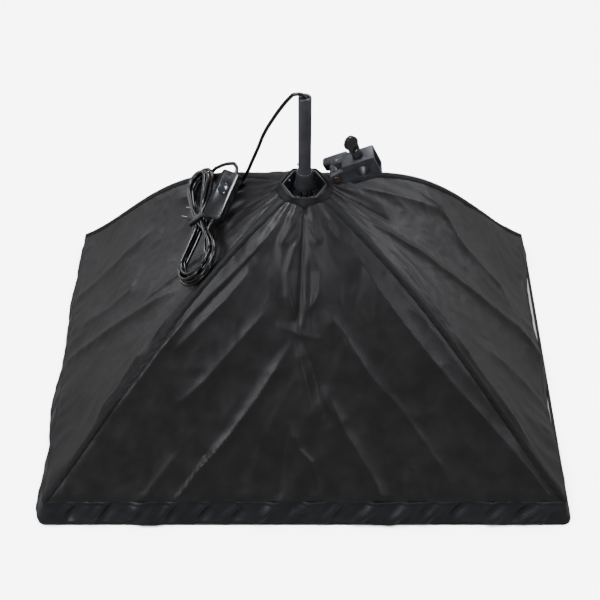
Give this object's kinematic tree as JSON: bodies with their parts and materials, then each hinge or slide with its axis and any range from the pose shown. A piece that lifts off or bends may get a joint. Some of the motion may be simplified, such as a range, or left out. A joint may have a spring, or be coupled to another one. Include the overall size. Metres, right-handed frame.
{
  "type": "folding softbox",
  "caption": "Rectangular umbrella-type folding softbox with white front diffuser, sprung ribs, sliding lamp tube, tilting stand bracket and a switched lead folded into a hank.",
  "frame": {"origin": "middle of the front's outline, on the surface the front lies on", "axes": "+X along the front's 0.70 m side towards the stand bracket, +Y along its 0.50 m side, +Z from the front to the lamp tube's outer end"},
  "size_m": [0.7, 0.5, 0.5179],
  "materials": {
    "black_nylon": "dull woven",
    "white_cloth": "soft woven",
    "black_plastic": "satin",
    "bracket_plastic": "satin",
    "tube_paint": "satin",
    "steel": "bright",
    "holder_plastic": "matte",
    "brass": "satin",
    "lead_rubber": "smooth",
    "switch_plastic": "satin gloss",
    "button_plastic": "glossy"
  },
  "bodies": {
    "front": {"diffuser": "white_cloth", "front_binding": "black_nylon"},
    "hub": {"hub_ring": "black_plastic", "hub_boss": "black_plastic", "hub_spider": "black_plastic", "spring_collet": "steel", "bracket_ear": "black_plastic", "rib_pin_near_left": "steel", "rib_pin_near_right": "steel", "rib_pin_far_left": "steel", "rib_pin_far_right": "steel"},
    "rib_arm_near_left": {"rib_near_left": "steel", "rib_clip_near_left": "steel", "rib_cap_near_left": "black_plastic", "canopy_near_left": "black_nylon", "hem_near_left": "black_nylon"},
    "rib_arm_near_right": {"rib_near_right": "steel", "rib_clip_near_right": "steel", "rib_cap_near_right": "black_plastic", "canopy_near_right": "black_nylon", "hem_near_right": "black_nylon"},
    "rib_arm_far_left": {"rib_far_left": "steel", "rib_clip_far_left": "steel", "rib_cap_far_left": "black_plastic", "canopy_far_left": "black_nylon", "hem_far_left": "black_nylon"},
    "rib_arm_far_right": {"rib_far_right": "steel", "rib_clip_far_right": "steel", "rib_cap_far_right": "black_plastic", "canopy_far_right": "black_nylon", "hem_far_right": "black_nylon"},
    "stretcher_arm_near_left": {"stretcher_near_left": "steel"},
    "stretcher_arm_near_right": {"stretcher_near_right": "steel"},
    "stretcher_arm_far_left": {"stretcher_far_left": "steel"},
    "stretcher_arm_far_right": {"stretcher_far_right": "steel"},
    "shaft": {"lamp_tube": "tube_paint", "tube_grommet": "black_plastic", "runner": "black_plastic", "lamp_holder_shell": "holder_plastic", "lamp_screw_shell": "brass", "lamp_centre_contact": "brass"},
    "catch": {"tube_catch": "steel"},
    "lead": {"lead_feed": "lead_rubber", "lead_loop": "lead_rubber", "lead_tail": "lead_rubber", "lead_hank": "lead_rubber", "lead_tie": "black_plastic", "switch_base": "switch_plastic", "switch_cover": "switch_plastic", "plug_body": "black_plastic", "plug_pin_a": "brass", "plug_pin_b": "brass"},
    "button": {"switch_button": "button_plastic"},
    "bracket": {"tilt_bracket": "bracket_plastic", "tilt_bolt": "steel"},
    "knob": {"tilt_knob": "black_plastic"},
    "screw": {"stand_screw": "steel", "stand_wing": "black_plastic"}
  },
  "joints": [
    {"name": "fold", "type": "slide", "parent": "front", "child": "hub", "axis": [0, 0, 1], "range_m": [0, 0.345], "deforming": ["canopy_near_left", "hem_near_left", "canopy_near_right", "hem_near_right", "canopy_far_left", "hem_far_left", "canopy_far_right", "hem_far_right", "tube_catch"]},
    {"name": "rib_fold_near_left", "type": "hinge", "parent": "hub", "child": "rib_arm_near_left", "pos_m": [-0.02319, -0.01656, 0.349], "axis": [0.5812, -0.8137, 0], "range_deg": [0, 48.5]},
    {"name": "stretcher_turn_near_left", "type": "hinge", "parent": "rib_arm_near_left", "child": "stretcher_arm_near_left", "pos_m": [-0.08649, -0.06178, 0.30342], "axis": [0.5812, -0.8137, 0], "range_deg": [-106.71, 0]},
    {"name": "rib_fold_near_right", "type": "hinge", "parent": "hub", "child": "rib_arm_near_right", "pos_m": [0.02319, -0.01656, 0.349], "axis": [0.5812, 0.8137, 0], "range_deg": [0, 48.5]},
    {"name": "stretcher_turn_near_right", "type": "hinge", "parent": "rib_arm_near_right", "child": "stretcher_arm_near_right", "pos_m": [0.08649, -0.06178, 0.30342], "axis": [0.5812, 0.8137, 0], "range_deg": [-106.71, 0]},
    {"name": "rib_fold_far_left", "type": "hinge", "parent": "hub", "child": "rib_arm_far_left", "pos_m": [-0.02319, 0.01656, 0.349], "axis": [-0.5812, -0.8137, 0], "range_deg": [0, 48.5]},
    {"name": "stretcher_turn_far_left", "type": "hinge", "parent": "rib_arm_far_left", "child": "stretcher_arm_far_left", "pos_m": [-0.09205, 0.06575, 0.31155], "axis": [-0.5812, -0.8137, 0], "range_deg": [-98.26, 0]},
    {"name": "rib_fold_far_right", "type": "hinge", "parent": "hub", "child": "rib_arm_far_right", "pos_m": [0.02319, 0.01656, 0.349], "axis": [-0.5812, 0.8137, 0], "range_deg": [0, 48.5]},
    {"name": "stretcher_turn_far_right", "type": "hinge", "parent": "rib_arm_far_right", "child": "stretcher_arm_far_right", "pos_m": [0.09205, 0.06575, 0.31155], "axis": [-0.5812, 0.8137, 0], "range_deg": [-98.26, 0]},
    {"name": "shaft_slide", "type": "slide", "parent": "hub", "child": "shaft", "axis": [0, 0, -1], "range_m": [0, 0.1119]},
    {"name": "catch_press", "type": "slide", "parent": "shaft", "child": "catch", "axis": [0.866, -0.5, 0], "range_m": [0, 0.0015], "stiffness_N_per_m": 400, "springref_m": -0.001},
    {"name": "lead_swing", "type": "hinge", "parent": "shaft", "child": "lead", "pos_m": [0, 0, 0.508], "axis": [0, 1, 0], "range_deg": [0, 3.2]},
    {"name": "button_press", "type": "slide", "parent": "lead", "child": "button", "axis": [0.3859, 0.4209, -0.8209], "range_m": [0, 0.0015], "stiffness_N_per_m": 300, "springref_m": -0.002},
    {"name": "bracket_tilt", "type": "hinge", "parent": "hub", "child": "bracket", "pos_m": [0.0385, 0, 0.393], "axis": [0, -1, 0], "range_deg": [-45, 30]},
    {"name": "tilt_knob_turn", "type": "hinge", "parent": "bracket", "child": "knob", "pos_m": [0.0385, 0, 0.393], "axis": [0, 1, 0], "range_deg": [0, 360]},
    {"name": "stand_screw_turn", "type": "hinge", "parent": "bracket", "child": "screw", "pos_m": [0.06865, 0, 0.40642], "axis": [-0.4067, 0, 0.9135], "range_deg": [0, 1080]}
  ],
  "couplings": [
    {"joint": "rib_fold_near_left", "follows": "fold", "rad_per_m": 2.4283},
    {"joint": "stretcher_turn_near_left", "follows": "fold", "rad_per_m": -5.373},
    {"joint": "rib_fold_near_right", "follows": "fold", "rad_per_m": 2.4283},
    {"joint": "stretcher_turn_near_right", "follows": "fold", "rad_per_m": -5.373},
    {"joint": "rib_fold_far_left", "follows": "fold", "rad_per_m": 2.4283},
    {"joint": "stretcher_turn_far_left", "follows": "fold", "rad_per_m": -4.9457},
    {"joint": "rib_fold_far_right", "follows": "fold", "rad_per_m": 2.4283},
    {"joint": "stretcher_turn_far_right", "follows": "fold", "rad_per_m": -4.9457},
    {"joint": "shaft_slide", "follows": "fold", "ratio": 0.32277},
    {"joint": "lead_swing", "follows": "fold", "rad_per_m": 0.15177}
  ]
}
